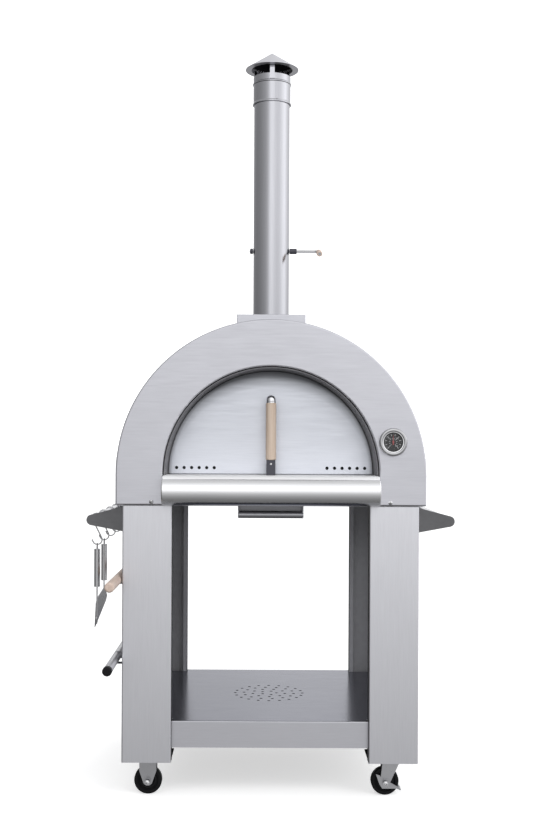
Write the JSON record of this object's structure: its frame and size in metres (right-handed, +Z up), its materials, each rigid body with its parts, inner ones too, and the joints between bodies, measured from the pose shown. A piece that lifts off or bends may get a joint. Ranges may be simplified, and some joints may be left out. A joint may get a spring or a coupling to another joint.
{
  "type": "wood fired pizza oven",
  "caption": "Arched wood fired oven on a wheeled stand with a half-round door, ash drawer, flue with damper and cap, dial thermometer, side handles and hanging tools.",
  "frame": {"origin": "on the ground: X on the oven's own middle plane, Y midway between the end of the peel's handle and the rear panel. The middle of the whole box is 6 mm further to -X, because the turner hangs out past the left side plates", "axes": "+Z up, -Y out of the oven's mouth towards the cook, +X to the right seen from the front"},
  "size_m": [1.0083, 0.83, 2.055],
  "materials": {
    "grey_panel": "smooth powder coat, satin",
    "grey_leg": "smooth powder coat, satin",
    "dark_steel": "matt dark steel",
    "bright_steel": "brushed stainless",
    "polished_tube": "polished",
    "zinc": "zinc plated",
    "stone": "fired clay, matt",
    "blanket": "ceramic fibre",
    "wood": "oiled light wood",
    "tyre": "smooth black rubber",
    "black_plastic": "matt",
    "dial": "matt black print",
    "needle": "matt",
    "lens": "clear",
    "bezel": "polished",
    "flue_steel": "brushed stainless"
  },
  "bodies": {
    "oven": {"leg_front_left": "grey_leg", "leg_front_right": "grey_leg", "leg_rear_left": "grey_leg", "leg_rear_right": "grey_leg", "bottom_shelf": "grey_leg", "rigid_forks": "zinc", "swivel_plates": "zinc", "base_pan": "grey_panel", "outer_shell": "grey_panel", "face_panel": "grey_panel", "rear_panel": "grey_panel", "arch_liner": "dark_steel", "cooking_chamber": "dark_steel", "insulation": "blanket", "hearth_plate": "dark_steel", "hearth_stones": "stone", "front_shelf": "bright_steel", "dome_screws": "bright_steel", "thermometer_case": "bezel", "thermometer_dial": "dial", "thermometer_lens": "lens", "drawer_rails": "dark_steel", "flue_collar": "grey_panel", "flue_pipe": "flue_steel", "cap_sleeve": "flue_steel", "cap_straps": "flue_steel", "cap_cone": "flue_steel", "handle_plates": "dark_steel", "handle_tubes": "polished_tube", "tool_hangers": "dark_steel"},
    "door": {"door_panel": "grey_panel", "door_plug": "blanket", "door_bracket": "dark_steel", "door_grip": "wood", "door_rod": "bright_steel"},
    "ash_drawer": {"ash_tray": "bright_steel", "ash_pull": "grey_panel"},
    "damper": {"damper_plate": "dark_steel", "damper_rod": "bright_steel", "damper_grip": "wood", "damper_collars": "bright_steel"},
    "needle": {"thermometer_needle": "needle"},
    "swivel_front": {"swivel_fork_front": "zinc"},
    "swivel_rear": {"swivel_fork_rear": "zinc"},
    "wheel_front_left": {"wheel_front_left": "tyre"},
    "wheel_front_right": {"wheel_front_right": "tyre"},
    "wheel_rear_left": {"wheel_rear_left": "tyre"},
    "wheel_rear_right": {"wheel_rear_right": "tyre"},
    "brake_front": {"brake_pedal_front": "zinc"},
    "brake_rear": {"brake_pedal_rear": "zinc"},
    "hook_1": {"hook_1": "bright_steel"},
    "hook_2": {"hook_2": "bright_steel"},
    "hook_3": {"hook_3": "bright_steel"},
    "hook_4": {"hook_4": "bright_steel"},
    "poker": {"poker": "dark_steel"},
    "turner": {"turner": "dark_steel"},
    "peel": {"peel_handle": "wood", "peel_blade": "bright_steel"},
    "scraper": {"ash_scraper": "bright_steel", "scraper_cap": "black_plastic"}
  },
  "joints": [
    {"name": "door_pull_out", "type": "slide", "parent": "oven", "child": "door", "axis": [0, -1, 0], "range_m": [0, 0.35]},
    {"name": "ash_drawer_slide", "type": "slide", "parent": "oven", "child": "ash_drawer", "axis": [0, -1, 0], "range_m": [0, 0.26]},
    {"name": "damper_turn", "type": "hinge", "parent": "oven", "child": "damper", "pos_m": [0, -0.065, 1.492], "axis": [1, 0, 0], "range_deg": [0, 90]},
    {"name": "needle_sweep", "type": "hinge", "parent": "oven", "child": "needle", "pos_m": [0.323, -0.2805, 0.953], "axis": [0, 1, 0], "range_deg": [-130, 130]},
    {"name": "swivel_front_turn", "type": "hinge", "parent": "oven", "child": "swivel_front", "pos_m": [0.3278, -0.2095, 0.09], "axis": [0, 0, 1], "continuous": true},
    {"name": "swivel_rear_turn", "type": "hinge", "parent": "oven", "child": "swivel_rear", "pos_m": [0.3278, 0.3495, 0.09], "axis": [0, 0, 1], "continuous": true},
    {"name": "wheel_front_left_spin", "type": "hinge", "parent": "oven", "child": "wheel_front_left", "pos_m": [-0.3278, -0.2095, 0.0375], "axis": [0, 1, 0], "continuous": true},
    {"name": "wheel_front_right_spin", "type": "hinge", "parent": "swivel_front", "child": "wheel_front_right", "pos_m": [0.3118, -0.2095, 0.0375], "axis": [0, 1, 0], "continuous": true},
    {"name": "brake_front_press", "type": "hinge", "parent": "swivel_front", "child": "brake_front", "pos_m": [0.3118, -0.2095, 0.0375], "axis": [0, 1, 0], "range_deg": [0, 14]},
    {"name": "wheel_rear_left_spin", "type": "hinge", "parent": "oven", "child": "wheel_rear_left", "pos_m": [-0.3278, 0.3495, 0.0375], "axis": [0, 1, 0], "continuous": true},
    {"name": "wheel_rear_right_spin", "type": "hinge", "parent": "swivel_rear", "child": "wheel_rear_right", "pos_m": [0.3118, 0.3495, 0.0375], "axis": [0, 1, 0], "continuous": true},
    {"name": "brake_rear_press", "type": "hinge", "parent": "swivel_rear", "child": "brake_rear", "pos_m": [0.3118, 0.3495, 0.0375], "axis": [0, 1, 0], "range_deg": [0, 14]},
    {"name": "hook_1_swing", "type": "hinge", "parent": "oven", "child": "hook_1", "pos_m": [-0.4837, -0.125, 0.7387], "axis": [0, 1, 0], "range_deg": [-10, 10]},
    {"name": "hook_2_swing", "type": "hinge", "parent": "oven", "child": "hook_2", "pos_m": [-0.4837, 0.015, 0.7387], "axis": [0, 1, 0], "range_deg": [-10, 10]},
    {"name": "hook_3_swing", "type": "hinge", "parent": "oven", "child": "hook_3", "pos_m": [-0.4837, 0.155, 0.7387], "axis": [0, 1, 0], "range_deg": [-20, 20]},
    {"name": "hook_4_swing", "type": "hinge", "parent": "oven", "child": "hook_4", "pos_m": [-0.4837, 0.295, 0.7387], "axis": [0, 1, 0], "range_deg": [-20, 20]},
    {"name": "poker_swing", "type": "hinge", "parent": "hook_1", "child": "poker", "pos_m": [-0.48123, -0.125, 0.66586], "axis": [1, 0, 0], "range_deg": [-10, 10]},
    {"name": "turner_swing", "type": "hinge", "parent": "hook_2", "child": "turner", "pos_m": [-0.48123, 0.015, 0.66586], "axis": [1, 0, 0], "range_deg": [-10, 10]},
    {"name": "peel_pull_out", "type": "slide", "parent": "oven", "child": "peel", "axis": [0, -1, 0], "range_m": [0, 0.21]},
    {"name": "scraper_pull_out", "type": "slide", "parent": "oven", "child": "scraper", "axis": [0, -1, 0], "range_m": [0, 0.25]}
  ]
}
